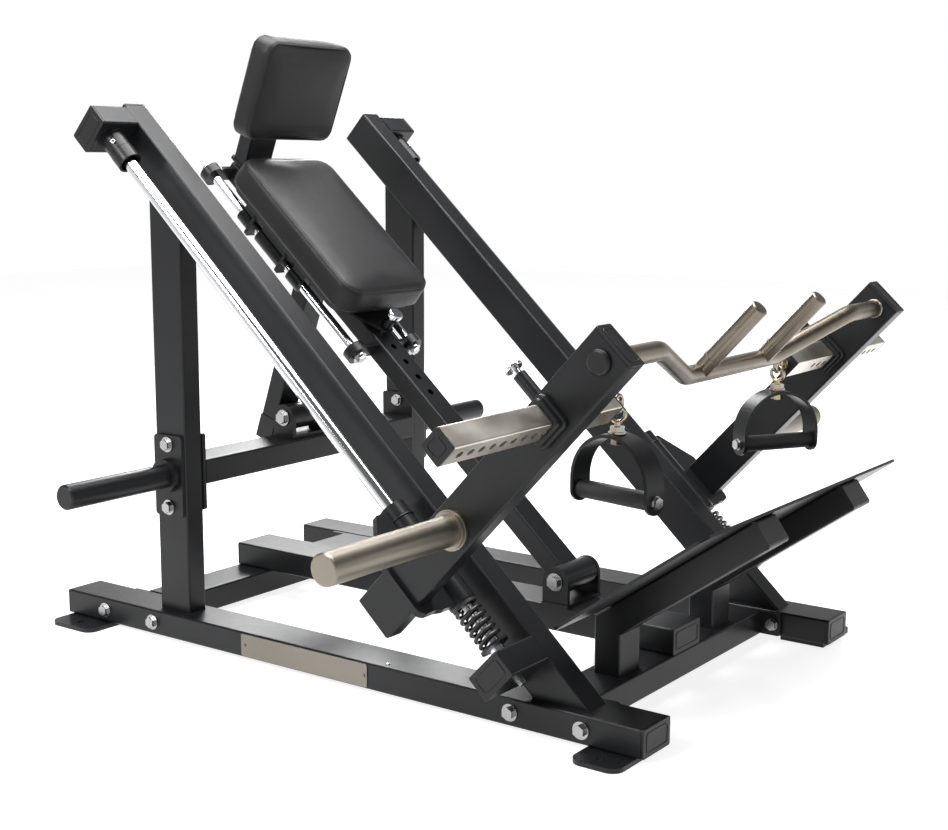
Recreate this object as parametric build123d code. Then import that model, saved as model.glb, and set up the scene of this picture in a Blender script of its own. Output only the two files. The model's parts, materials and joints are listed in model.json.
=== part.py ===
"""Plate-loaded leg press machine, built as separate sub-parts.

Frame: +Z up, X across the machine, the footplate end toward -Y. "Near" is the -X side.
Lengths are millimetres. Three tilted frames are used beside the machine frame:
RAIL (y runs up the inclined rails, z away from them), BENCH (the same for the bench)
and FOOT (y runs down the footplate, z is its upper normal).
"""
from build123d import *
import os
from math import cos, radians, sin, tan

os.makedirs("parts", exist_ok=True)

# ---- layout ----------------------------------------------------------------
FOOT_T = 8.0            # floor feet under the base beams
SHIFT_Y = 55.8          # puts the origin under the middle of the whole machine
RAIL_DEG = 42.9         # slope of the inclined rails and guide rods
BENCH_DEG = 41.9        # slope of the bench tube
PLATE_DEG = 35.4        # slope of the footplate
HEAD_DEG = 21.4         # forward lean of the head pad
STRUT_DEG = 19.0        # forward lean of the bench strut
WALL = 3.0              # wall of every structural tube
CAP_T = 5.0             # plastic end caps

# ---- base ------------------------------------------------------------------
BASE_HALF_L = 680.0
BASE_IN, BASE_OUT = 316.0, 403.0
BASE_H = 49.0
CROSS_Y = 495.0         # centre of the front and rear crossbars
CROSS_W = 92.0
CENTRE_HALF_W = 50.0
CENTRE_HALF_L = 540.0
BOLT_Y = (428.0, 566.0)

# ---- uprights and rails ----------------------------------------------------
UP_IN, UP_OUT = 333.0, 377.0
UP_Y0, UP_Y1 = 350.0, 431.0
MID_Z0, MID_Z1 = 299.0, 348.0
RAIL_IN, RAIL_OUT = 328.0, 380.0
RAIL_N0, RAIL_N1 = 346.0, 423.0
RAIL_TOP = 1059.0
STUB_TOP, STUB_TOP_X = (1003.0, 1051.0), 461.0
STUB_LOW, STUB_LOW_X = (-274.0, -226.0), 479.0
ROD_X, ROD_N, ROD_R = 426.0, 384.5, 13.0

# ---- main carriage ---------------------------------------------------------
ARM_IN, ARM_OUT = 493.0, 533.0
ARM_S0, ARM_S1 = -94.5, -13.5
ARM_N0, ARM_N1 = 298.0, 957.0
ARM_S = (ARM_S0 + ARM_S1) / 2
BEARING_R = 25.0
BEARING_S = (-118.0, 88.0)
LINER_R = 16.5
RUN_CLEAR = 0.05        # radial running clearance on both pairs of rods
WEB_N = (379.0, 391.0)
HORN_N, HORN_R, HORN_END = 535.5, 25.0, 834.0
BAR_R, BAR_N, BAR_LOW_N, BAR_S = 16.0, 927.0, 837.0, -57.0
BAR_BEND_X, BAR_LOW_X, BAR_BEND_R = 368.0, 167.0, 70.0
GRIP_BAR_X, GRIP_BAR_R, GRIP_BAR_TOP = 119.0, 15.0, 996.0

# ---- sliding handle tubes --------------------------------------------------
SQ = 20.0               # half the square tube
SQ_S, SQ_N = -51.0, 791.0
SQ_OUT, SQ_LEN = 792.0, 436.0
SQ_PITCH, SQ_HOLES = 26.0, 13
PIN_X = 505.0
BARREL_L, PIN_TRAVEL = 51.0, 11.0
FAR_STEPS = 2           # holes that the far tube is pushed further in
EYE_REACH, EYE_DROP = 28.0, 17.0
EYE_R = 12.5            # middle radius of both eyes
STRAP_HALF = 75.0       # half the inner width of a hanging handle
STRAP_T, STRAP_W, STRAP_RISE = 6.0, 42.0, 19.0
STRAP_DROP = 31.0       # from the lower eye's centre to the top of the strap
GRIP_R = 15.0
NEAR_TURN, FAR_TURN, NEAR_EYE_TURN = 79.5, 32.0, 25.0

# ---- bench -----------------------------------------------------------------
TUBE_HALF = 30.0
TUBE_N0, TUBE_N1 = 280.0, 320.0
HINGE_Y, HINGE_Z = -292.0, 147.0
HINGE2_Y, HINGE2_Z = 390.0, 391.0
HINGE_R = 27.0
SEAT_X, SEAT_N, SEAT_R = 87.0, 298.0, 10.0
SEAT_S = (476.0, 1024.0)
HOLE_PITCH, HOLE_S, HOLE_R = 42.0, 514.8, 7.0
KNOB_N = 367.0
PAD_HALF, PAD_S0, PAD_S1 = 133.5, 543.0, 946.0
PAD_N0, PAD_N1 = 352.0, 410.0
BOARD_T = 12.0
HEAD_Y, HEAD_Z, HEAD_H, HEAD_HALF, HEAD_T = 412.0, 960.0, 210.0, 130.0, 52.0

# ---- footplate -------------------------------------------------------------
PLATE_HALF, PLATE_LEN, PLATE_T = 393.0, 333.0, 5.0
PLATE_Y, PLATE_Z = -498.0, 176.0
SUP_IN, SUP_OUT, SUP_H = 137.0, 209.0, 50.0
POST_Y0, POST_Y1 = -521.0, -470.0

RAIL = Location((0, 0, FOOT_T), (RAIL_DEG, 0, 0))
BENCH = Location((0, 0, FOOT_T), (BENCH_DEG, 0, 0))
FOOT = Location((0, PLATE_Y, PLATE_Z + FOOT_T), (-PLATE_DEG, 0, 0))
HEAD = Location((0, HEAD_Y, HEAD_Z + FOOT_T), (HEAD_DEG, 0, 0))
BASE = Location((0, 0, FOOT_T))
BIG = 4000.0


# ---- helpers ---------------------------------------------------------------
def block(x, y, z):
    """A box from three (low, high) pairs."""
    size = [abs(p[1] - p[0]) for p in (x, y, z)]
    mid = [(p[0] + p[1]) / 2 for p in (x, y, z)]
    return Pos(*mid) * Box(*size)


def rounded(solid, axis, radius):
    """Fillet the edges that run along one axis."""
    return fillet(solid.edges().filter_by(axis), radius)


def rect_tube(x, y, z, axis, wall=WALL, radius=4.0):
    """A rectangular tube, open at both ends, running along axis."""
    outer = rounded(block(x, y, z), axis, radius)
    grown = [list(x), list(y), list(z)]
    along = {Axis.X: 0, Axis.Y: 1, Axis.Z: 2}[axis]
    for i, pair in enumerate(grown):
        low, high = min(pair), max(pair)
        step = wall if i != along else -1.0
        grown[i] = (low + step, high - step)
    return outer - block(*grown)


def end_cap(x, y, z, axis, radius=4.0):
    """A plastic cap: a thin plate the size of the tube's end."""
    cap = rounded(block(x, y, z), axis, radius)
    outer = [e for e in cap.edges() if not e.is_closed and e.length > 15.0]
    try:
        return fillet(outer, 1.2)
    except Exception:
        return cap


def rod(a, b, radius):
    """A round bar between two points."""
    start, end = Vector(*a), Vector(*b)
    plane = Plane(origin=start, z_dir=end - start)
    return plane * extrude(Circle(radius), (end - start).length)


def ring(a, b, outer, inner):
    """A round sleeve between two points."""
    start, end = Vector(*a), Vector(*b)
    reach = (end - start).normalized() * 2.0
    return rod(a, b, outer) - rod(tuple(start - reach), tuple(end + reach), inner)


def hex_bolt(point, direction, flats=19.0, head=8.0, washer=15.0):
    """A hex head on a washer, standing on a face."""
    plane = Plane(origin=point, z_dir=direction)
    disc = extrude(Circle(washer), 2.5)
    hexagon = extrude(RegularPolygon(flats / 2, 6, major_radius=False), 2.5 + head)
    return plane * (disc + hexagon)


def both(shape):
    """A shape and its mirror image across X = 0."""
    return [shape, mirror(shape, Plane.YZ)]


def far(shape):
    """The mirror image of a near-side shape."""
    return mirror(shape, Plane.YZ)


def flat(shapes):
    """One level list of solids from shapes and lists of shapes."""
    out = []
    for shape in shapes:
        if isinstance(shape, (list, tuple)):
            out += flat(shape)
        else:
            out += list(shape.solids())
    return out


def save(name, *shapes):
    """Write one sub-part, moved so that the origin is under the machine's middle."""
    solids = [Pos(0, SHIFT_Y, 0) * s for s in flat(shapes)]
    export_step(solids[0] if len(solids) == 1 else Compound(children=solids), f"parts/{name}.step")


# ---- base ------------------------------------------------------------------
def base_beam():
    beam = rect_tube((-BASE_OUT, -BASE_IN), (-BASE_HALF_L + CAP_T, BASE_HALF_L - CAP_T), (0, BASE_H), Axis.Y)
    return BASE * beam


def base_caps():
    caps = []
    for sign in (-1, 1):
        y = sign * (BASE_HALF_L - CAP_T)
        caps.append(BASE * end_cap((-BASE_OUT, -BASE_IN), (y, y + sign * CAP_T), (0, BASE_H), Axis.Y))
    return caps


def centre_caps():
    caps = []
    for sign in (-1, 1):
        y = sign * (CENTRE_HALF_L - CAP_T)
        span = (y, y + sign * CAP_T)
        caps.append(BASE * end_cap((-CENTRE_HALF_W, CENTRE_HALF_W), span, (BASE_H, 2 * BASE_H), Axis.Y))
    return caps


def floor_foot(y0, y1, hole_y):
    """A floor plate with rounded outer corners and one anchor hole."""
    plate = block((-463, -BASE_IN - 6), (y0, y1), (-FOOT_T, 0))
    outer = [e for e in plate.edges().filter_by(Axis.Z) if e.center().X < -450]
    plate = fillet(outer, 22)
    return BASE * (plate - Pos(-434, hole_y, -FOOT_T / 2) * Cylinder(7, 3 * FOOT_T))


def crossbar(sign):
    """A low crossbar with a bolted flange at each end."""
    half = BASE_IN - 8
    y = (sign * CROSS_Y - CROSS_W / 2, sign * CROSS_Y + CROSS_W / 2)
    bar = rect_tube((-half, half), y, (0, BASE_H), Axis.X)
    flange = block((-BASE_IN, -half), (sign * CROSS_Y - 88, sign * CROSS_Y + 88), (2, BASE_H - 2))
    flange = rounded(flange, Axis.X, 6)
    return [BASE * bar] + [BASE * f for f in both(flange)]


def centre_beam():
    reach = CENTRE_HALF_L - CAP_T
    tube = rect_tube((-CENTRE_HALF_W, CENTRE_HALF_W), (-reach, reach), (BASE_H, 2 * BASE_H), Axis.Y)
    return BASE * tube


def base_bolts():
    bolts = []
    for sign in (-1, 1):
        for y in BOLT_Y:
            bolts += both(hex_bolt((-BASE_OUT, sign * y, BASE_H / 2), (-1, 0, 0)))
            inner = hex_bolt((BASE_IN - 8, sign * y, BASE_H / 2), (-1, 0, 0), washer=12)
            bolts += both(inner)
    return [BASE * b for b in bolts]


# ---- uprights --------------------------------------------------------------
def above_rail():
    """Everything above the rails' lower faces."""
    return RAIL * block((-BIG, BIG), (-BIG, BIG), (RAIL_N0, BIG))


def upright():
    tube = rect_tube((-UP_OUT, -UP_IN), (UP_Y0, UP_Y1), (BASE_H, 1200), Axis.Z)
    return BASE * tube - above_rail()


def mid_crossbar():
    half = UP_IN - 8
    bar = rect_tube((-half, half), (UP_Y0 - 3, UP_Y1 + 3), (MID_Z0, MID_Z1), Axis.X)
    plate = rounded(block((-UP_IN, -half), (UP_Y0 - 2, UP_Y1 + 2), (248, 400)), Axis.X, 6)
    return [BASE * bar] + [BASE * p for p in both(plate)]


def storage_horn():
    """A bolted plate, a collar and a horn that holds spare weight plates."""
    y, z = (UP_Y0 + UP_Y1) / 2, 321.0
    plate = rounded(block((-UP_OUT - 8, -UP_OUT), (UP_Y0 + 3, UP_Y1 - 3), (240, 400)), Axis.X, 8)
    collar = rod((-UP_OUT - 8, y, z), (-UP_OUT - 22, y, z), 33)
    bar = rod((-UP_OUT - 22, y, z), (-638, y, z), 23.5)
    bar = chamfer(bar.edges().sort_by(Axis.X)[0], 3)
    return BASE * (plate + collar + bar)


def upright_bolts():
    y = (UP_Y0 + UP_Y1) / 2
    bolts = []
    for z in (258, 382):
        bolts += both(hex_bolt((-UP_OUT - 8, y, z), (-1, 0, 0)))
        bolts += both(hex_bolt((-UP_IN + 8, y, z), (1, 0, 0), washer=13))
    return [BASE * b for b in bolts]


# ---- inclined rails and guide rods -----------------------------------------
def rail():
    tube = rect_tube((-RAIL_OUT, -RAIL_IN), (-700, RAIL_TOP - CAP_T), (RAIL_N0, RAIL_N1), Axis.Y)
    return RAIL * tube - block((-BIG, BIG), (-BIG, BIG), (-BIG, BASE_H + FOOT_T))


def rail_caps():
    span = (RAIL_TOP - CAP_T, RAIL_TOP)
    caps = [RAIL * end_cap((-RAIL_OUT, -RAIL_IN), span, (RAIL_N0, RAIL_N1), Axis.Y)]
    for s, x in ((STUB_TOP, STUB_TOP_X), (STUB_LOW, STUB_LOW_X)):
        caps.append(RAIL * end_cap((-x - CAP_T, -x), s, (RAIL_N0, RAIL_N1), Axis.X))
    return caps


def rod_brackets():
    out = []
    for s, x in ((STUB_TOP, STUB_TOP_X), (STUB_LOW, STUB_LOW_X)):
        out.append(RAIL * rect_tube((-x, -RAIL_OUT), s, (RAIL_N0, RAIL_N1), Axis.X))
    return out


def along_rod(s, t):
    return (-ROD_X, s, ROD_N), (-ROD_X, t, ROD_N)


def guide_rod():
    return RAIL * rod(*along_rod(STUB_LOW[1], STUB_TOP[0]), ROD_R)


def rod_collars():
    """The upper collars, and the washer that the spring stands on."""
    top = STUB_TOP[0]
    flange = ring(*along_rod(top - 5, top), 26, ROD_R)
    upper = ring(*along_rod(top - 38, top - 5), 22.5, ROD_R)
    stop = ring(*along_rod(top - 68, top - 39), 23, ROD_R)
    bell = rod((-ROD_X, top - 70, ROD_N), (-ROD_X, top - 54, ROD_N), 19)
    seat = ring(*along_rod(STUB_LOW[1] + 18, STUB_LOW[1] + 22.5), 26.5, ROD_R)
    return [RAIL * flange, RAIL * upper, RAIL * (stop - bell), RAIL * seat]


def springs():
    """A short coil spring around the lower end of a guide rod."""
    pitch, turns, wire, mean = 12.9, 5.5, 3.3, 20.5
    path = Helix(pitch, pitch * turns, mean)
    start = path.location_at(0)
    coil = sweep(Plane(origin=start.position, z_dir=path % 0) * Circle(wire), path)
    low = STUB_LOW[1] + 23
    placed = Location((-ROD_X, low + wire, ROD_N), (-90, 0, 0)) * coil
    return [RAIL * placed]


def rod_hardware():
    """The lower bolt and the set screw in the upper collar."""
    bolt = hex_bolt((-ROD_X, STUB_LOW[0], ROD_N), (0, -1, 0), flats=14, head=8, washer=9)
    screw = ring((0, 0, 22.6), (0, 0, 25.5), 4.5, 2.2)
    screw = Location((-ROD_X, STUB_TOP[0] - 24, ROD_N), (0, -55, 0)) * screw
    return [RAIL * s for s in (bolt, screw)]


# ---- footplate -------------------------------------------------------------
def footplate():
    plate = block((-PLATE_HALF, PLATE_HALF), (-PLATE_LEN, 0), (-PLATE_T, 0))
    plate = rounded(plate, Axis.Z, 18)
    return FOOT * plate


def footplate_support():
    """A slope tube and its post, cut to meet in a mitre."""
    x = (-SUP_OUT, -SUP_IN)
    top = -PLATE_T
    corner_z = PLATE_Z - (POST_Y1 - PLATE_Y) * tan(radians(PLATE_DEG)) - PLATE_T / cos(radians(PLATE_DEG))
    mitre = Location((0, POST_Y1, corner_z + FOOT_T), ((90 - PLATE_DEG) / 2, 0, 0))
    above = mitre * block((-BIG, BIG), (-BIG, BIG), (0, BIG))
    slope = FOOT * rect_tube(x, (-PLATE_LEN + 12 + CAP_T, 120), (top - SUP_H, top), Axis.Y)
    post = BASE * rect_tube(x, (POST_Y0, POST_Y1), (BASE_H, 300), Axis.Z)
    return [slope & above, post - above]


def footplate_caps():
    y = -PLATE_LEN + 12 + CAP_T
    top = -PLATE_T
    cap = block((-SUP_OUT, -SUP_IN), (y - CAP_T - 3, y), (top - SUP_H, top))
    nose = [e for e in cap.edges().filter_by(Axis.X) if e.center().Y < y - 4]
    return FOOT * fillet(nose, 6)


def nameplate():
    plate = rounded(block((-BASE_OUT - 1.6, -BASE_OUT), (-122, 185), (3, BASE_H - 3)), Axis.X, 4)
    rivets = []
    for y in (-114, 177):
        rivets.append(rod((-BASE_OUT - 1.6, y, BASE_H / 2), (-BASE_OUT - 3.2, y, BASE_H / 2), 3.2))
    return BASE * (plate + rivets[0] + rivets[1])


# ---- bench -----------------------------------------------------------------
def hinge_barrel(y, z):
    return BASE * ring((-49, y, z), (49, y, z), HINGE_R, 8)


def bench_tube():
    length = (-140, SEAT_S[1])
    tube = rect_tube((-TUBE_HALF, TUBE_HALF), length, (TUBE_N0, TUBE_N1), Axis.Y)
    holes = [HOLE_S + HOLE_PITCH * k for k in range(-4, 6)]
    for s in holes:
        tube -= Pos(0, s, TUBE_N1) * Cylinder(HOLE_R, 3 * WALL)
    tube = BENCH * tube - BASE * rod((-BIG / 8, HINGE_Y, HINGE_Z), (BIG / 8, HINGE_Y, HINGE_Z), HINGE_R)
    tube = max(tube.solids(), key=lambda s: s.volume)
    return tube + hinge_barrel(HINGE_Y, HINGE_Z)


def bench_strut():
    """A leaning tube under the bench tube, with the rear hinge barrel welded on."""
    lean = Location((0, 459, 382 + FOOT_T), (STRUT_DEG, 0, 0))
    upper = rect_tube((-TUBE_HALF, TUBE_HALF), (-21.5, 21.5), (0, 400), Axis.Z)
    sleeve = rect_tube((-TUBE_HALF - 2, TUBE_HALF + 2), (-23.5, 23.5), (-52, 0), Axis.Z, wall=5)
    over = BENCH * block((-BIG, BIG), (-BIG, BIG), (TUBE_N0, BIG))
    web = BASE * block((-18, 18), (HINGE2_Y, 440), (HINGE2_Z - 14, HINGE2_Z + 20))
    web -= lean * block((-BIG, BIG), (-21.5, BIG), (-BIG, BIG))
    web -= lean * block((-BIG, BIG), (-23.5, BIG), (-BIG, 0))
    web -= BASE * rod((-60, HINGE2_Y, HINGE2_Z), (60, HINGE2_Y, HINGE2_Z), HINGE_R - 1)
    tube = lean * upper - over
    barrel = hinge_barrel(HINGE2_Y, HINGE2_Z)
    return [tube + lean * sleeve + web + barrel]


def clevis(y, z, floor):
    """Two ears on a base plate."""
    base = block((-60, 60), (y - 29, y + 29), (floor, floor + 8))
    ear = block((-58, -50), (y - 28, y + 28), (floor + 8, z))
    ear += rod((-58, y, z), (-50, y, z), 28)
    ear -= rod((-60, y, z), (-48, y, z), 8)
    return BASE * (base + ear + far(ear))


def clevis_bolt(y, z):
    shank = rod((-58, y, z), (58, y, z), 7.8)
    head = hex_bolt((-58, y, z), (-1, 0, 0), flats=22, head=9, washer=17)
    nut = hex_bolt((58, y, z), (1, 0, 0), flats=22, head=11, washer=17)
    return BASE * (shank + head + nut)


def seat_rods():
    return both(BENCH * rod((-SEAT_X, SEAT_S[0], SEAT_N), (-SEAT_X, SEAT_S[1], SEAT_N), SEAT_R))


def seat_rod_brackets():
    """A ring at each end of each seat rod, on cross plates welded to the bench tube."""
    out = []
    for s0, s1 in ((480, 500), (1000, 1020)):
        loop = ring((-SEAT_X, s0, SEAT_N), (-SEAT_X, s1, SEAT_N), 23, SEAT_R)
        ear = rounded(block((-SEAT_X, -TUBE_HALF), (s0 + 6, s1 - 6), (284, 315)), Axis.Y, 2)
        ear -= rod((-SEAT_X, s0 - 5, SEAT_N), (-SEAT_X, s1 + 5, SEAT_N), 15)
        out += both(BENCH * (loop + ear))
    return out


def seat_rod_bolts():
    bolts = []
    low = hex_bolt((-SEAT_X, SEAT_S[0], SEAT_N), (0, -1, 0), flats=17, head=6, washer=15)
    high = hex_bolt((-SEAT_X, SEAT_S[1], SEAT_N), (0, 1, 0), flats=17, head=6, washer=15)
    for bolt in (low, high):
        bolts += both(BENCH * bolt)
    return bolts


# ---- pad carriage ----------------------------------------------------------
def seat_bearing(s0, s1, radius):
    """A bearing tube on a seat rod and the saddle that joins it to the plate."""
    tube = rod((-SEAT_X, s0, SEAT_N), (-SEAT_X, s1, SEAT_N), radius)
    saddle = block((-SEAT_X - 9, -SEAT_X + 9), (s0, s1), (SEAT_N, 330))
    return tube + saddle


def pad_carriage():
    plate = block((-106, 106), (668, 900), (330, 336))
    tongue = block((-42, 42), (880, 1028), (330, 336))
    plate = rounded(plate + tongue, Axis.Z, 6)
    body = plate
    for s0, s1, radius in ((676, 714, 17), (741, 826, 17), (852, 890, 17)):
        body += seat_bearing(s0, s1, radius)
        body += far(seat_bearing(s0, s1, radius))
    for s in (735, 845):
        web = rounded(block((-108, -62), (s, s + 7), (278, 330)), Axis.Y, 8)
        body += web + far(web)
    body += pin_plate()
    for x in (-SEAT_X, SEAT_X):
        body -= rod((x, 600, SEAT_N), (x, 1000, SEAT_N), SEAT_R + RUN_CLEAR)
    return BENCH * body


def pin_plate():
    """The tongue under the pad's lower end that carries the pull pin."""
    outline = Polyline((-75, 680), (75, 680), (68, 560), (16, HOLE_S - 6), (-16, HOLE_S - 6), (-68, 560), close=True)
    tongue = Pos(0, 0, 330) * extrude(make_face(outline), 6)
    tip = rod((0, HOLE_S, 330), (0, HOLE_S, 336), 17)
    return (tongue + tip) - rod((0, HOLE_S, 325), (0, HOLE_S, 340), 11)


def back_pad():
    pad = block((-PAD_HALF, PAD_HALF), (PAD_S0, PAD_S1), (PAD_N0, PAD_N1))
    pad = rounded(pad, Axis.Z, 42)
    pad = fillet([e for e in pad.edges() if e.center().Z > PAD_N1 - 1], 12)
    return BENCH * fillet([e for e in pad.edges() if e.center().Z < PAD_N0 + 1], 6)


def back_board():
    board = block((-122, 122), (PAD_S0 + 12, PAD_S1 - 12), (PAD_N0 - BOARD_T, PAD_N0))
    board = BENCH * rounded(board, Axis.Z, 34)
    spacer = [BENCH * block((x - 14, x + 14), (690, 880), (336, PAD_N0 - BOARD_T)) for x in (-80, 80)]
    return [board] + spacer


def head_pad():
    pad = block((-HEAD_HALF, HEAD_HALF), (0, HEAD_T), (0, HEAD_H))
    pad = rounded(pad, Axis.Y, 30)
    pad = fillet([e for e in pad.edges() if e.center().Y < 1], 12)
    return HEAD * fillet([e for e in pad.edges() if e.center().Y > HEAD_T - 1], 6)


def head_board():
    return HEAD * rounded(block((-112, 112), (HEAD_T, HEAD_T + BOARD_T), (16, HEAD_H - 16)), Axis.Y, 22)


def head_bracket():
    """The tube that carries the head pad, standing on the carriage plate."""
    y0 = HEAD_T + BOARD_T
    tube = rect_tube((-39, 39), (y0 + 6, y0 + 42), (-160, 150), Axis.Z)
    tube = HEAD * tube - BENCH * block((-BIG, BIG), (-BIG, BIG), (-BIG, 336))
    plate = HEAD * rounded(block((-70, 70), (y0, y0 + 6), (30, 160)), Axis.Y, 8)
    lid = HEAD * rounded(block((-39, 39), (y0 + 6, y0 + 42), (150, 154)), Axis.Z, 4)
    return [tube, plate, lid]


def pull_pin_barrel():
    return BENCH * ring((0, HOLE_S, 328), (0, HOLE_S, KNOB_N - PIN_TRAVEL - 0.5), 11, 7)


def pull_pin():
    """Mushroom knob, neck and locking pin, drawn clear of the bench tube."""
    pin = rod((0, HOLE_S, TUBE_N1 + 0.8), (0, HOLE_S, KNOB_N), 5.5)
    neck = rod((0, HOLE_S, KNOB_N - 14), (0, HOLE_S, KNOB_N), 6.6)
    knob = rod((0, HOLE_S, KNOB_N), (0, HOLE_S, KNOB_N + 10), 16.5)
    knob = fillet(knob.edges().sort_by(Axis.Z)[-1], 4)
    return BENCH * (pin + neck + knob)


# ---- main carriage ---------------------------------------------------------
def arm_slot():
    """The square window that the handle tube slides through."""
    half = SQ + 0.5
    return block((-ARM_OUT - 40, -ARM_IN + 40), (SQ_S - half, SQ_S + half), (SQ_N - half, SQ_N + half))


def arm():
    tube = rect_tube((-ARM_OUT, -ARM_IN), (ARM_S0, ARM_S1), (ARM_N0 + CAP_T, ARM_N1 - CAP_T), Axis.Z)
    tube -= arm_slot()
    tube -= rod((-PIN_X, ARM_S1 - 10, SQ_N), (-PIN_X, ARM_S1 + 10, SQ_N), 7)
    return RAIL * tube


def arm_caps():
    x, s = (-ARM_OUT, -ARM_IN), (ARM_S0, ARM_S1)
    low = end_cap(x, s, (ARM_N0, ARM_N0 + CAP_T), Axis.Z)
    top = end_cap(x, s, (ARM_N1 - CAP_T, ARM_N1), Axis.Z)
    dome = rod((-ARM_OUT, ARM_S, 923), (-ARM_OUT - 8, ARM_S, 923), 20)
    dome = fillet(dome.edges().sort_by(Axis.X)[0], 6)
    return [RAIL * c for c in (low, top, dome)]


def carriage_plate():
    """The web between the bearing tube and the arm."""
    points = [(-436, 80), (-478, 80), (-541, 4), (-541, -114), (-500, -114), (-482, -117), (-436, -117)]
    web = Pos(0, 0, WEB_N[0]) * extrude(make_face(Polyline(*points, close=True)), WEB_N[1] - WEB_N[0])
    corner = [e for e in web.edges().filter_by(Axis.Z) if e.center().X < -535 and e.center().Y < -100]
    web = fillet(corner, 18)
    web -= rod((-ROD_X, -200, ROD_N), (-ROD_X, 200, ROD_N), BEARING_R)
    web -= block((-ARM_OUT, -ARM_IN), (ARM_S0, ARM_S1), (0, BIG))
    return RAIL * web


def bearing_tube():
    tube = ring(*along_rod(*BEARING_S), BEARING_R, LINER_R)
    return RAIL * tube


def bearing_liners():
    liner = ring(*along_rod(*BEARING_S), LINER_R, ROD_R + RUN_CLEAR)
    bumper = ring(*along_rod(BEARING_S[0] - 7, BEARING_S[0]), 23, 14.5)
    return [RAIL * liner, RAIL * bumper]


def weight_horn():
    """The bar that takes the weight plates, with its flange ring."""
    flange = ring((-ARM_OUT, ARM_S, HORN_N), (-ARM_OUT - 6, ARM_S, HORN_N), 33, 20)
    lip = ring((-ARM_OUT - 6, ARM_S, HORN_N), (-ARM_OUT - 11, ARM_S, HORN_N), 30, 20)
    bar = rod((-ARM_OUT, ARM_S, HORN_N), (-HORN_END, ARM_S, HORN_N), HORN_R)
    bar = fillet(bar.edges().sort_by(Axis.X)[0], 4)
    return RAIL * (flange + lip + bar)


def bent_bar():
    """The round bar between the arms, dropped in its middle."""
    half = [(-ARM_IN, BAR_S, BAR_N), (-BAR_BEND_X, BAR_S, BAR_N), (-BAR_LOW_X, BAR_S, BAR_LOW_N)]
    other = [(-x, s, n) for x, s, n in reversed(half)]
    path = FilletPolyline(*half, *other, radius=BAR_BEND_R)
    bar = sweep(Plane(origin=path @ 0, z_dir=path % 0) * Circle(BAR_R), path)
    return RAIL * bar


def bar_grip():
    """One upright round handle and its weld ring."""
    grip = rod((-GRIP_BAR_X, BAR_S, BAR_LOW_N), (-GRIP_BAR_X, BAR_S, GRIP_BAR_TOP), GRIP_BAR_R)
    grip = chamfer(grip.edges().sort_by(Axis.Z)[-1], 2)
    grip += rod((-GRIP_BAR_X, BAR_S, BAR_LOW_N + 34), (-GRIP_BAR_X, BAR_S, BAR_LOW_N + 38), GRIP_BAR_R + 1)
    grip -= rod((-GRIP_BAR_X - 60, BAR_S, BAR_LOW_N), (-GRIP_BAR_X + 60, BAR_S, BAR_LOW_N), BAR_R)
    return RAIL * max(grip.solids(), key=lambda s: s.center().Z)


def soft_plate(face, depth, half, radius):
    """A square plate around the handle tube with its outer edges rounded."""
    plate = block((face, face + depth), (SQ_S - half, SQ_S + half), (SQ_N - half, SQ_N + half))
    plate = rounded(plate, Axis.X, radius)
    return fillet([e for e in plate.edges() if abs(e.center().X - face - depth) < 0.1], 4)


def tube_sleeve():
    """The square collars around the handle tube, one each side of the arm."""
    out = []
    for sign, face in ((-1, -ARM_OUT), (1, -ARM_IN)):
        flange = soft_plate(face, sign * 10, 32, 10)
        collar = soft_plate(face, sign * 21, 27, 6)
        out.append(RAIL * (flange + collar - arm_slot()))
    return out


def pop_barrel():
    base = (-PIN_X, ARM_S1, SQ_N)
    return RAIL * ring(base, (-PIN_X, ARM_S1 + BARREL_L, SQ_N), 11, 7)


def pop_pin():
    """Disc knob, chrome neck and pin, drawn clear of the handle tube."""
    tip = SQ_S + SQ + 0.8
    knob = ARM_S1 + BARREL_L + PIN_TRAVEL + 0.5
    pin = rod((-PIN_X, tip, SQ_N), (-PIN_X, knob, SQ_N), 5.5)
    neck = rod((-PIN_X, knob - 14, SQ_N), (-PIN_X, knob, SQ_N), 6.6)
    disc = rod((-PIN_X, knob, SQ_N), (-PIN_X, knob + 5, SQ_N), 15.5)
    return RAIL * (pin + neck + fillet(disc.edges(), 1.5))


# ---- sliding handle tubes and hanging handles ------------------------------
def handle_tube(outer):
    """A square tube with a row of pin holes, its outer end at x = -outer."""
    s, n = (SQ_S - SQ, SQ_S + SQ), (SQ_N - SQ, SQ_N + SQ)
    tube = rect_tube((-outer, -outer + SQ_LEN), s, n, Axis.X, radius=3.0)
    for k in range(SQ_HOLES):
        x = -outer + (SQ_OUT - PIN_X) % SQ_PITCH + SQ_PITCH * (k + 1)
        tube -= rod((x, SQ_S - 30, SQ_N), (x, SQ_S + 30, SQ_N), 6.5)
    return RAIL * tube


def handle_tube_caps(outer):
    s, n = (SQ_S - SQ, SQ_S + SQ), (SQ_N - SQ, SQ_N + SQ)
    inner = -outer + SQ_LEN
    end = end_cap((-outer - CAP_T, -outer), s, n, Axis.X, radius=3.0)
    start = end_cap((inner, inner + CAP_T), s, n, Axis.X, radius=3.0)
    return [RAIL * end, RAIL * start]


def eye_centre(outer):
    """The middle of the upper eye, in the machine frame."""
    a = radians(RAIL_DEG)
    y = SQ_S * cos(a) - SQ_N * sin(a)
    z = SQ_S * sin(a) + SQ_N * cos(a) + FOOT_T
    return -outer + SQ_LEN + CAP_T + EYE_REACH, y, z


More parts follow.
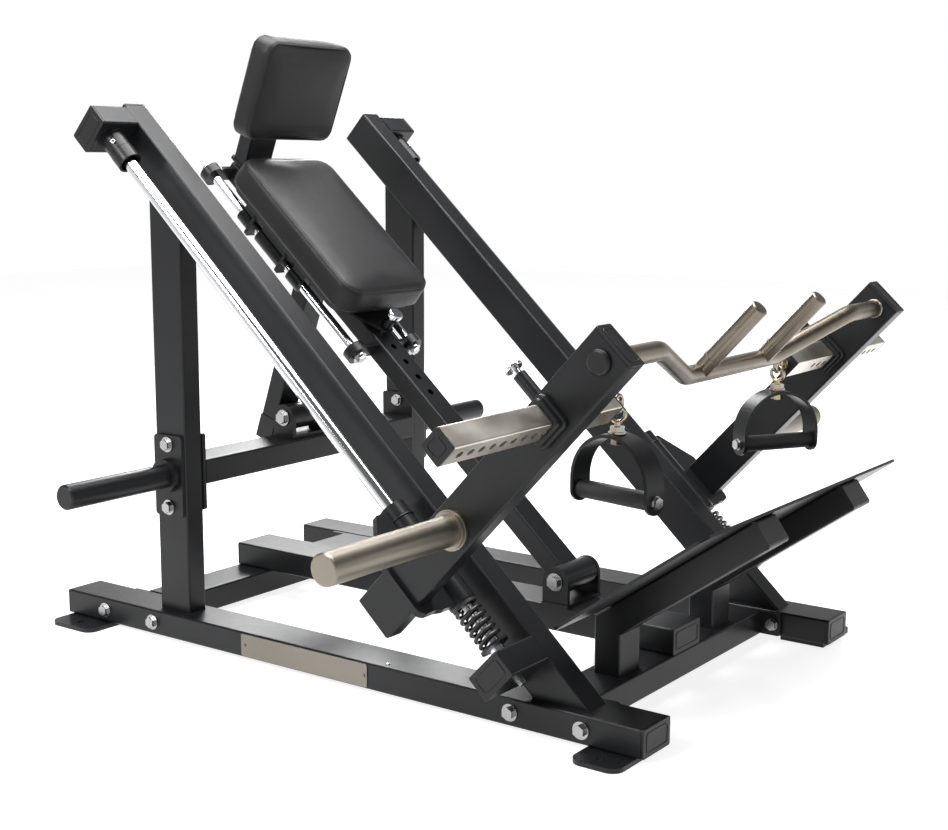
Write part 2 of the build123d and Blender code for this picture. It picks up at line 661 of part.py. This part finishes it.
def upper_eye(outer):
    """A bolt from the tube's end that carries a ring with a level hole."""
    x, y, z = eye_centre(outer)
    start = x - EYE_REACH
    nut = Plane(origin=(start, y, z), z_dir=(1, 0, 0)) * extrude(RegularPolygon(11, 6, major_radius=False), 9)
    shank = rod((start, y, z), (x - EYE_R, y, z), 6)
    return nut + shank + Location((x, y, z), (90, 0, 0)) * Torus(EYE_R, 4.5)


def lower_eye(outer, turn):
    """The ring that hangs in the upper eye, its shank, flange nut and lock nut."""
    x, y, z = eye_centre(outer)
    low = z - EYE_DROP
    top = low - STRAP_DROP
    eye = Location((x, y, low), (0, 90, 0)) * Torus(EYE_R, 3.2)
    shank = rod((x, y, low - EYE_R), (x, y, top - STRAP_T - 12.5), 5)
    nut = Plane(origin=(x, y, top + 0.3), z_dir=(0, 0, 1)) * extrude(RegularPolygon(11, 6, major_radius=False), 11)
    washer = rod((x, y, top + 2.8), (x, y, top + 0.3), 14.5)
    head = Plane(origin=(x, y, top - STRAP_T - 1.2), z_dir=(0, 0, -1))
    head *= extrude(RegularPolygon(9.5, 6, major_radius=False), 10)
    return Pos(x, y, 0) * Rot(0, 0, turn) * Pos(-x, -y, 0) * (eye + shank + nut + washer + head)


def strap_frame(outer, turn):
    """The hanging handle's own frame: origin on the grip's axis."""
    x, y, z = eye_centre(outer)
    height = STRAP_RISE + STRAP_HALF + STRAP_T
    return Location((x, y, z - EYE_DROP - STRAP_DROP - height), (0, 0, turn))


def strap(outer, turn):
    """A flat strap bent to an arch, with a rounded lobe over each end of the grip."""
    outer_r = STRAP_HALF + STRAP_T
    arch = Cylinder(outer_r, STRAP_W) - Cylinder(STRAP_HALF, 2 * STRAP_W)
    arch = Location((0, 0, STRAP_RISE), (90, 0, 0)) * arch
    arch -= block((-200, 200), (-200, 200), (-200, STRAP_RISE))
    leg = block((-outer_r, -STRAP_HALF), (-STRAP_W / 2, STRAP_W / 2), (0, STRAP_RISE))
    leg += rod((-outer_r, 0, 0), (-STRAP_HALF, 0, 0), STRAP_W / 2)
    leg -= rod((-outer_r - 2, 0, 0), (-STRAP_HALF + 2, 0, 0), 5)
    shape = arch + leg + mirror(leg, Plane.YZ)
    shape -= rod((0, 0, STRAP_RISE + 50), (0, 0, STRAP_RISE + 90), 5.05)
    return strap_frame(outer, turn) * shape


def grip(outer, turn):
    return strap_frame(outer, turn) * ring((-STRAP_HALF, 0, 0), (STRAP_HALF, 0, 0), GRIP_R, 5)


def grip_bolt(outer, turn):
    """One through bolt with a hex head and washer at both ends."""
    reach = STRAP_HALF + STRAP_T
    shank = rod((-reach, 0, 0), (reach, 0, 0), 5)
    left = hex_bolt((-reach, 0, 0), (-1, 0, 0), flats=17, head=6, washer=11)
    right = hex_bolt((reach, 0, 0), (1, 0, 0), flats=17, head=6, washer=11)
    return strap_frame(outer, turn) * (shank + left + right)


save("base_beam_near", base_beam())
save("base_beam_far", far(base_beam()))
save("rear_crossbar", crossbar(1))
save("front_crossbar", crossbar(-1))
save("centre_beam", centre_beam())
save("upright_near", upright())
save("upright_far", far(upright()))
save("mid_crossbar", mid_crossbar())
save("storage_horns", both(storage_horn()))
save("rail_near", rail())
save("rail_far", far(rail()))
save("rod_brackets", [both(b) for b in rod_brackets()])
save("guide_rods", both(guide_rod()))
save("rod_collars", [both(c) for c in rod_collars()])
save("springs", [both(s) for s in springs()])
feet = [floor_foot(548, 668, 606), floor_foot(-668, -578, -622)]
save("floor_feet", [both(f) for f in feet])
caps = base_caps() + rail_caps() + [footplate_caps()]
save("tube_end_caps", [both(c) for c in caps], centre_caps())
save("footplate", footplate())
save("footplate_supports", [both(s) for s in footplate_support()])
save("nameplate", nameplate())
save("bench_tube", bench_tube())
save("bench_strut", bench_strut())
hinges = [clevis(HINGE_Y, HINGE_Z, 2 * BASE_H), clevis(HINGE2_Y, HINGE2_Z, MID_Z1)]
save("bench_clevises", hinges)
save("seat_rods", seat_rods())
save("seat_rod_brackets", seat_rod_brackets())
pivots = [clevis_bolt(HINGE_Y, HINGE_Z), clevis_bolt(HINGE2_Y, HINGE2_Z)]
hardware = [both(h) for h in rod_hardware()]
save("frame_bolts", base_bolts(), upright_bolts(), pivots, seat_rod_bolts(), hardware)

save("pad_carriage", pad_carriage())
save("pad_boards", back_board(), head_board())
save("back_pad", back_pad())
save("head_pad_bracket", head_bracket())
save("head_pad", head_pad())
save("pull_pin_barrel", pull_pin_barrel())
save("pull_pin", pull_pin())

save("arm_near", arm())
save("arm_far", far(arm()))
save("arm_caps", [both(c) for c in arm_caps()])
save("carriage_plates", both(carriage_plate()))
save("bearing_tubes", both(bearing_tube()))
save("bearing_liners", [both(b) for b in bearing_liners()])
save("weight_horns", both(weight_horn()))
save("bent_bar", bent_bar())
save("bar_handles", both(bar_grip()))
save("tube_sleeves", [both(s) for s in tube_sleeve()])
save("pop_pin_barrels", both(pop_barrel()))
save("pop_pin_near", pop_pin())
save("pop_pin_far", far(pop_pin()))

far_outer = SQ_OUT - FAR_STEPS * SQ_PITCH
sides = (("near", lambda s: s, SQ_OUT, NEAR_TURN, NEAR_EYE_TURN), ("far", far, far_outer, FAR_TURN, 0.0))
for side, place, outer, turn, eye_turn in sides:
    save(f"handle_tube_{side}", place(handle_tube(outer)))
    save(f"handle_tube_caps_{side}", [place(c) for c in handle_tube_caps(outer)])
    save(f"upper_eye_{side}", place(upper_eye(outer)))
    save(f"lower_eye_{side}", place(lower_eye(outer, eye_turn)))
    save(f"grip_strap_{side}", place(strap(outer, turn)))
    save(f"grip_{side}", place(grip(outer, turn)))
    save(f"grip_bolt_{side}", place(grip_bolt(outer, turn)))
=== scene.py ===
"""Looks for the leg press machine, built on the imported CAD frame. Metres, row frame."""

import json
import math

import bmesh
import bpy
from mathutils import Matrix, Vector, noise
from mathutils.bvhtree import BVHTree


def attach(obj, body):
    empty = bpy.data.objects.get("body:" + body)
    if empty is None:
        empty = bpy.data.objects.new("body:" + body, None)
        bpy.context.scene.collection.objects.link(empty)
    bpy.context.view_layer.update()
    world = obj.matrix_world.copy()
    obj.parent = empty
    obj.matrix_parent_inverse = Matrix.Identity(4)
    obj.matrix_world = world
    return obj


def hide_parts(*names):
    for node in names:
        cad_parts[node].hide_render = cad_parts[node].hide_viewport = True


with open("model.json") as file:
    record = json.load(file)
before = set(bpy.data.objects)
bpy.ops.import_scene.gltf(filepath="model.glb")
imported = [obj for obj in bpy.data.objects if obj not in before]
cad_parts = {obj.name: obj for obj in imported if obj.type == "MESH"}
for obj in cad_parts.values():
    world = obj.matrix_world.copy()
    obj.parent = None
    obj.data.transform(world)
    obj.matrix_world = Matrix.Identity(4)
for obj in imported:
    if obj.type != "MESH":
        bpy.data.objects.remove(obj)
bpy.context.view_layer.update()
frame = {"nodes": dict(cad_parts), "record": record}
nodes = frame["nodes"]

SHIFT_Y = 0.0558
RAIL_DEG, BENCH_DEG, HEAD_DEG = 42.9, 41.9, 21.4


def tilted(degrees, origin=(0.0, SHIFT_Y, 0.008)):
    """The matrix of one of the machine's sloping frames."""
    return Matrix.Translation(origin) @ Matrix.Rotation(math.radians(degrees), 4, "X")


RAIL = tilted(RAIL_DEG)
BENCH = tilted(BENCH_DEG)
HEAD = tilted(HEAD_DEG, (0.0, 0.412 + SHIFT_Y, 0.968))
BASE = Matrix.Translation((0.0, SHIFT_Y, 0.008))


# ---- materials --------------------------------------------------------------
def material(name, color, metallic, rough, vary=0.08, grain=(60, 60, 60), grain_rough=0.05,
             bump=0.1, bump_scale=(900, 900, 900), bump_depth=0.0002, blotch=6.0, tint=None, gloss=0.5):
    """A procedural finish: blotchy colour, uneven roughness and a fine bump."""
    mat = bpy.data.materials.new(name)
    mat.use_nodes = True
    tree = mat.node_tree
    shader = tree.nodes["Principled BSDF"]
    shader.inputs["Metallic"].default_value = metallic
    shader.inputs["Specular IOR Level"].default_value = gloss
    where = tree.nodes.new("ShaderNodeTexCoord")

    def noise_node(scale, detail, size=1.0):
        mapping = tree.nodes.new("ShaderNodeMapping")
        mapping.inputs["Scale"].default_value = scale
        tree.links.new(where.outputs["Object"], mapping.inputs["Vector"])
        tex = tree.nodes.new("ShaderNodeTexNoise")
        tex.inputs["Scale"].default_value = size
        tex.inputs["Detail"].default_value = detail
        tree.links.new(mapping.outputs["Vector"], tex.inputs["Vector"])
        return tex

    patches = noise_node((blotch, blotch, blotch), 4.0)
    ramp = tree.nodes.new("ShaderNodeValToRGB")
    other = tint or [c * (1 - vary) for c in color]
    more = [min(1.0, c * (1 + vary)) for c in color]
    ramp.color_ramp.elements[0].position = 0.3
    ramp.color_ramp.elements[0].color = (*other, 1)
    ramp.color_ramp.elements[1].position = 0.7
    ramp.color_ramp.elements[1].color = (*more, 1)
    tree.links.new(patches.outputs["Fac"], ramp.inputs["Fac"])
    tree.links.new(ramp.outputs["Color"], shader.inputs["Base Color"])

    streaks = noise_node(grain, 6.0)
    spread = tree.nodes.new("ShaderNodeMapRange")
    spread.inputs["To Min"].default_value = max(0.02, rough - grain_rough)
    spread.inputs["To Max"].default_value = rough + grain_rough
    tree.links.new(streaks.outputs["Fac"], spread.inputs["Value"])
    tree.links.new(spread.outputs["Result"], shader.inputs["Roughness"])

    fine = noise_node(bump_scale, 3.0)
    relief = tree.nodes.new("ShaderNodeBump")
    relief.inputs["Strength"].default_value = bump
    relief.inputs["Distance"].default_value = bump_depth
    tree.links.new(fine.outputs["Fac"], relief.inputs["Height"])
    tree.links.new(relief.outputs["Normal"], shader.inputs["Normal"])
    return mat


ALONG_X, ROUND_X = (3, 420, 420), (520, 6, 6)
MATS = {
    "frame_paint": material("frame_paint", (0.0075, 0.0078, 0.0088), 0.0, 0.33, vary=0.18, bump=0.22,
                            gloss=0.26),
    "carriage_paint": material("carriage_paint", (0.0070, 0.0073, 0.0082), 0.0, 0.32, vary=0.18, bump=0.22,
                               gloss=0.26),
    "chrome": material("chrome", (0.66, 0.67, 0.69), 1.0, 0.10, vary=0.03, grain=(300, 300, 6),
                       grain_rough=0.04, bump=0.03),
    "horn_steel": material("horn_steel", (0.235, 0.21, 0.175), 1.0, 0.38, vary=0.10, grain=ROUND_X,
                           grain_rough=0.10, bump=0.20, bump_scale=ROUND_X),
    "bar_steel": material("bar_steel", (0.22, 0.19, 0.155), 1.0, 0.34, vary=0.14, grain=(240, 30, 30),
                          grain_rough=0.12, bump=0.22, bump_scale=(700, 60, 60), tint=(0.15, 0.125, 0.10)),
    "tube_steel": material("tube_steel", (0.72, 0.68, 0.61), 1.0, 0.34, grain=(9, 30, 30), grain_rough=0.14,
                           blotch=14.0,
                           bump=0.05, bump_scale=ALONG_X, tint=(0.50, 0.46, 0.40)),
    "eye_zinc": material("eye_zinc", (0.42, 0.32, 0.19), 1.0, 0.24, tint=(0.30, 0.31, 0.31), blotch=60.0),
    "fasteners": material("fasteners", (0.34, 0.34, 0.34), 1.0, 0.22, vary=0.08, bump=0.12),
    "nameplate": material("nameplate", (0.20, 0.18, 0.155), 1.0, 0.38, vary=0.05, grain=(600, 8, 600),
                          grain_rough=0.10, bump=0.12, bump_scale=(600, 8, 600)),
    "cap_plastic": material("cap_plastic", (0.006, 0.006, 0.007), 0.0, 0.38, vary=0.15, gloss=0.3, bump=0.3,
                            bump_scale=(1500, 1500, 1500)),
    "vinyl": material("vinyl", (0.0075, 0.0075, 0.0083), 0.0, 0.46, vary=0.16, gloss=0.30,
                      grain=(40, 40, 40), grain_rough=0.08, bump=0.55,
                      bump_scale=(1300, 1300, 1300), bump_depth=0.0003),
    "board": material("board", (0.008, 0.008, 0.0085), 0.0, 0.6, vary=0.2),
    "grip_rubber": material("grip_rubber", (0.008, 0.008, 0.009), 0.0, 0.62, vary=0.2, bump=0.5,
                            bump_scale=(1400, 1400, 1400), bump_depth=0.0003),
    "spring_steel": material("spring_steel", (0.007, 0.007, 0.008), 0.0, 0.30, vary=0.15),
    "liner_plastic": material("liner_plastic", (0.015, 0.015, 0.016), 0.0, 0.5, vary=0.1),
    "weld": material("weld", (0.30, 0.26, 0.21), 1.0, 0.45, vary=0.2, blotch=200.0, bump=0.4,
                     bump_scale=(600, 600, 600)),
}


def set_material(obj, name):
    obj.data.materials.clear()
    obj.data.materials.append(MATS[name])


for part in frame["record"]["subparts"]:
    set_material(nodes[part["node"]], part["material_slot"])


# ---- small builders ---------------------------------------------------------
BEAD_RIPPLE = 300       # how often a weld bead swells, per metre


def add(name, bm, body, mat, smooth=True):
    """Make an object from a bmesh already in the row frame, and let it ride on a body."""
    mesh = bpy.data.meshes.new(name)
    bm.to_mesh(mesh)
    bm.free()
    for face in mesh.polygons:
        face.use_smooth = smooth
    obj = bpy.data.objects.new(name, mesh)
    bpy.context.scene.collection.objects.link(obj)
    set_material(obj, mat)
    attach(obj, body)
    return obj


def sweep_loop(points, radius, sides, up, wobble=0.0):
    """A round tube mesh along a closed loop of points, uneven by wobble for weld beads."""
    bm = bmesh.new()
    rings = []
    count = len(points)
    for i, p in enumerate(points):
        along = (points[(i + 1) % count] - points[i - 1]).normalized()
        side = along.cross(up).normalized()
        lift = side.cross(along)
        r = radius * (1 + wobble * noise.noise(p * BEAD_RIPPLE))
        ring = []
        for k in range(sides):
            a = 2 * math.pi * k / sides
            ring.append(bm.verts.new(p + side * r * math.cos(a) + lift * r * math.sin(a)))
        rings.append(ring)
    for i in range(count):
        one, two = rings[i], rings[(i + 1) % count]
        for k in range(sides):
            bm.faces.new((one[k], one[(k + 1) % sides], two[(k + 1) % sides], two[k]))
    bmesh.ops.recalc_face_normals(bm, faces=bm.faces[:])
    return bm


def rounded_loop(half_a, half_b, radius, steps=7):
    """Points (a, b) round a rectangle with rounded corners."""
    out = []
    for corner, (sa, sb) in enumerate(((1, 1), (-1, 1), (-1, -1), (1, -1))):
        for k in range(steps + 1):
            t = math.pi / 2 * (corner + k / steps)
            a = sa * (half_a - radius) + radius * math.cos(t)
            b = sb * (half_b - radius) + radius * math.sin(t)
            out.append((a, b))
    return out


def circle(centre, axis, radius, count=40):
    """Points of a circle about an axis."""
    axis = Vector(axis).normalized()
    side = axis.orthogonal().normalized()
    lift = axis.cross(side)
    turn = [2 * math.pi * k / count for k in range(count)]
    return [Vector(centre) + side * radius * math.cos(t) + lift * radius * math.sin(t) for t in turn]


# ---- weld beads -------------------------------------------------------------
X, Y, Z = (1, 0, 0), (0, 1, 0), (0, 0, 1)


def weld_bead(name, centre, axis, radius, thick, mat):
    """An uneven ring of weld round a bar or a tube of the main carriage."""
    ring = [RAIL @ p for p in circle(centre, axis, radius)]
    add(name, sweep_loop(ring, thick, 8, Vector(axis), wobble=0.5), "main_carriage", mat)


for sign, side in ((-1, "near"), (1, "far")):
    weld_bead(f"bar_weld_{side}", (sign * 0.4925, -0.057, 0.927), X, 0.0165, 0.0026, "weld")
    weld_bead(f"bush_weld_a_{side}", (sign * 0.426, 0.060, 0.3845), Y, 0.0253, 0.0018,
              "carriage_paint")


# ---- inset panels on the plastic end caps -----------------------------------
PANEL_LINE = 0.0009     # radius of the raised line


def cap_panel(name, place, centre, u, v, half_u, half_v, body):
    """A raised rounded-rectangle line on the face of a cap."""
    loop = []
    for a, b in rounded_loop(half_u, half_v, min(half_u, half_v) * 0.35):
        loop.append(place @ (Vector(centre) + Vector(u) * a + Vector(v) * b))
    normal = place.to_3x3() @ Vector(u).cross(Vector(v))
    add(name, sweep_loop(loop, PANEL_LINE, 6, normal), body, "cap_plastic")


for sign, side in ((-1, "near"), (1, "far")):
    for end, y in (("front", -0.6801), ("rear", 0.6801)):
        cap_panel(f"base_panel_{end}_{side}", BASE, (sign * 0.3595, y, 0.0245), X, Z, 0.033, 0.016, "frame")
    cap_panel(f"rail_panel_{side}", RAIL, (sign * 0.354, 1.0591, 0.3845), X, Z, 0.017, 0.029, "frame")
    for where, s, x in (("top", 1.027, 0.4661), ("low", -0.250, 0.4841)):
        cap_panel(f"stub_panel_{where}_{side}", RAIL, (sign * x, s, 0.3845), Y, Z, 0.015, 0.029, "frame")
    cap_panel(f"arm_panel_{side}", RAIL, (sign * 0.513, -0.054, 0.9571), X, Y, 0.013, 0.032, "main_carriage")
    outer = 0.7971 if side == "near" else 0.7451
    cap_panel(f"tube_panel_{side}", RAIL, (sign * outer, -0.051, 0.791), Y, Z, 0.012, 0.012,
              f"handle_tube_{side}")
for end, y in (("front", -0.5401), ("rear", 0.5401)):
    cap_panel(f"centre_panel_{end}", BASE, (0, y, 0.0735), X, Z, 0.040, 0.016, "frame")

# The small screw head on the near base beam.
screw = bmesh.new()
spot = Matrix.Translation((-0.3878, -0.1569 + SHIFT_Y, 0.0579))
bmesh.ops.create_cone(screw, cap_ends=True, segments=24, radius1=0.0045, radius2=0.0036,
                      depth=0.0016, matrix=spot)
add("beam_screw", screw, "frame", "fasteners", smooth=False)


# ---- cushions ---------------------------------------------------------------
VOXEL = 0.005
SIDE_PULL = 0.0010      # how far the middle of each side pulls in
FACE_DROP, FACE_CROWN = 0.002, 0.005
HELD_DEPTH = 0.012      # the part next to the board that the simulation doesn't move
SWELL = 0.0035          # the furthest that a point may move
SMOOTH_STEPS = 24


def cushion(node, place, axis, back_low):
    """A filled pad: remesh, then a cloth simulation that swells it off its backing board.

    axis is the pad's thickness direction in its own frame. The back face, on the side that
    back_low says, is held flat."""
    source = nodes[node]
    obj = bpy.data.objects.new(node + "_cushion", source.data.copy())
    bpy.context.scene.collection.objects.link(obj)
    remesh = obj.modifiers.new("remesh", "REMESH")
    remesh.mode, remesh.voxel_size, remesh.use_smooth_shade = "VOXEL", VOXEL, True
    bpy.context.view_layer.update()
    ready = bpy.data.meshes.new_from_object(obj.evaluated_get(bpy.context.evaluated_depsgraph_get()))
    obj.modifiers.clear()
    obj.data = ready
    into_pad = place.inverted()
    start = [into_pad @ v.co for v in obj.data.vertices]
    low = min(p[axis] for p in start)
    high = max(p[axis] for p in start)
    flat = [i for i in range(3) if i != axis]
    mids = [(min(p[i] for p in start) + max(p[i] for p in start)) / 2 for i in range(3)]
    halves = [(max(p[i] for p in start) - min(p[i] for p in start)) / 2 for i in range(3)]
    outward = 1 if back_low else -1
    for vert, p in zip(obj.data.vertices, start):
        q = p.copy()
        from_middle = {i: (p[i] - mids[i]) / halves[i] for i in flat}
        for i, j in (flat, flat[::-1]):
            q[i] -= SIDE_PULL * (1 - from_middle[j] ** 2) * from_middle[i]
        crown = (1 - from_middle[flat[0]] ** 2) * (1 - from_middle[flat[1]] ** 2)
        share = (p[axis] - low if back_low else high - p[axis]) / (high - low)
        q[axis] -= outward * (FACE_DROP - FACE_CROWN * crown) * share
        vert.co = place @ q
    held = obj.vertex_groups.new(name="held")
    for i, p in enumerate(start):
        depth = p[axis] - low if back_low else high - p[axis]
        if depth < HELD_DEPTH:
            held.add([i], 1.0, "REPLACE")
    before = [v.co.copy() for v in obj.data.vertices]
    cloth = obj.modifiers.new("cloth", "CLOTH")
    settings = cloth.settings
    settings.quality = 6
    settings.mass = 0.3
    settings.tension_stiffness = settings.compression_stiffness = 20
    settings.shear_stiffness = 12
    settings.bending_stiffness = 2.0
    settings.use_pressure = True
    settings.uniform_pressure_force = 4.0
    settings.vertex_group_mass = "held"
    settings.effector_weights.gravity = 0
    cloth.point_cache.frame_start, cloth.point_cache.frame_end = 1, 20
    for step in range(1, 21):
        bpy.context.scene.frame_set(step)
    shape = obj.evaluated_get(bpy.context.evaluated_depsgraph_get()).data
    moved = [v.co.copy() for v in shape.vertices]
    obj.modifiers.clear()
    bpy.context.scene.frame_set(1)
    shifts = []
    for a, b in zip(before, moved):
        shift = b - a
        if shift.length > SWELL:
            shift *= SWELL / shift.length
        shifts.append(shift)
    near = [[] for _ in before]
    for edge in obj.data.edges:
        one, two = edge.vertices
        near[one].append(two)
        near[two].append(one)
    for _ in range(SMOOTH_STEPS):
        shifts = [
            (s + sum((shifts[k] for k in ids), Vector())) / (len(ids) + 1)
            for s, ids in zip(shifts, near)
        ]
    for vert, a, shift in zip(obj.data.vertices, before, shifts):
        vert.co = a + shift
    for face in obj.data.polygons:
        face.use_smooth = True
    obj.modifiers.new("fine", "SUBSURF").levels = 1
    obj.modifiers["fine"].render_levels = 1
    set_material(obj, "vinyl")
    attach(obj, "pad_slider")
    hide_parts(node)
    return obj


PIPING_R, PIPING_SINK = 0.0016, 0.0008


def piping(name, pad, place, loop, direction):
    """A sewn line laid on the pad's face along a loop of points in the pad's frame."""
    tree = BVHTree.FromObject(pad, bpy.context.evaluated_depsgraph_get())
    aim = place.to_3x3() @ Vector(direction)
    points = []
    for p in loop:
        hit = tree.ray_cast(place @ p, aim)
        if hit[0] is not None:
            points.append(hit[0] + aim * PIPING_SINK)
    add(name, sweep_loop(points, PIPING_R, 8, aim), "pad_slider", "vinyl")


back = cushion("back_pad", BENCH, 2, True)
head = cushion("head_pad", HEAD, 1, False)
back_line = [Vector((a, 0.7445 + b, 0.47)) for a, b in rounded_loop(0.1270, 0.1950, 0.0365, 14)]
piping("back_pad_seam", back, BENCH, back_line, (0, 0, -1))
head_line = [Vector((a, -0.06, 0.105 + b)) for a, b in rounded_loop(0.1235, 0.0985, 0.0245, 12)]
piping("head_pad_seam", head, HEAD, head_line, (0, 1, 0))

# ---- smooth shading on the CAD nodes ----------------------------------------
SHARP_DEG = 32
for obj in nodes.values():
    if not obj.hide_render:
        obj.data.shade_smooth()
        obj.data.set_sharp_from_angle(angle=math.radians(SHARP_DEG))


# ---- floor, world, lights and camera ----------------------------------------
floor_mesh = bmesh.new()
bmesh.ops.create_grid(floor_mesh, x_segments=1, y_segments=1, size=9.0)
mesh = bpy.data.meshes.new("floor")
floor_mesh.to_mesh(mesh)
floor_mesh.free()
floor = bpy.data.objects.new("floor", mesh)
floor.location.z = -0.0005
bpy.context.scene.collection.objects.link(floor)
MATS["floor"] = material("floor", (0.40, 0.40, 0.40), 0.0, 0.7, vary=0.01, blotch=0.8, bump=0.02)
glow = MATS["floor"].node_tree.nodes["Principled BSDF"]
glow.inputs["Emission Color"].default_value = (1.0, 1.0, 1.0, 1)
glow.inputs["Emission Strength"].default_value = 0.84
set_material(floor, "floor")

bpy.context.scene.view_settings.view_transform = "Standard"
world = bpy.data.worlds.new("studio")
bpy.context.scene.world = world
world.use_nodes = True
sky = world.node_tree
direction = sky.nodes.new("ShaderNodeTexCoord")
split = sky.nodes.new("ShaderNodeSeparateXYZ")
sky.links.new(direction.outputs["Generated"], split.inputs["Vector"])
fade = sky.nodes.new("ShaderNodeValToRGB")
fade.color_ramp.elements[0].position = 0.16
fade.color_ramp.elements[0].color = (1.0, 1.0, 1.0, 1)
fade.color_ramp.elements[1].position = 0.42
fade.color_ramp.elements[1].color = (0.16, 0.16, 0.17, 1)
sky.links.new(split.outputs["Z"], fade.inputs["Fac"])
sky.links.new(fade.outputs["Color"], sky.nodes["Background"].inputs["Color"])
sky.nodes["Background"].inputs["Strength"].default_value = 1.0


def area(name, place, target, size, power):
    light = bpy.data.lights.new(name, "AREA")
    light.shape, light.size, light.size_y, light.energy = "RECTANGLE", size[0], size[1], power
    obj = bpy.data.objects.new(name, light)
    obj.location = place
    aim = Vector(target) - Vector(place)
    obj.rotation_euler = aim.to_track_quat("-Z", "Y").to_euler()
    bpy.context.scene.collection.objects.link(obj)


area("overhead", (0.2, 0.2, 3.6), (0, 0, 0.4), (3.2, 3.2), 330)
area("key", (-3.4, 0.8, 2.8), (0, 0, 0.5), (1.2, 1.2), 110)
area("rim", (2.6, 2.6, 2.2), (0, 0, 0.6), (1.2, 1.2), 90)

lens = bpy.data.cameras.new("camera")
lens.sensor_fit, lens.sensor_width, lens.lens = "HORIZONTAL", 36.0, 58.19
lens.clip_end = 100.0
camera = bpy.data.objects.new("camera", lens)
bearing, down, roll = math.radians(-54.163), math.radians(9.31), math.radians(0.15)
look = Vector((-math.sin(bearing) * math.cos(down), math.cos(bearing) * math.cos(down), -math.sin(down)))
right = look.cross(Vector((0, 0, 1))).normalized()
upward = right.cross(look)
level = Matrix((right, upward, -look)).transposed().to_4x4()
stand = Matrix.Translation((-2.3994, -1.7949 + SHIFT_Y, 0.9266))
camera.matrix_world = stand @ level @ Matrix.Rotation(roll, 4, "Z")
bpy.context.scene.collection.objects.link(camera)
bpy.context.scene.camera = camera
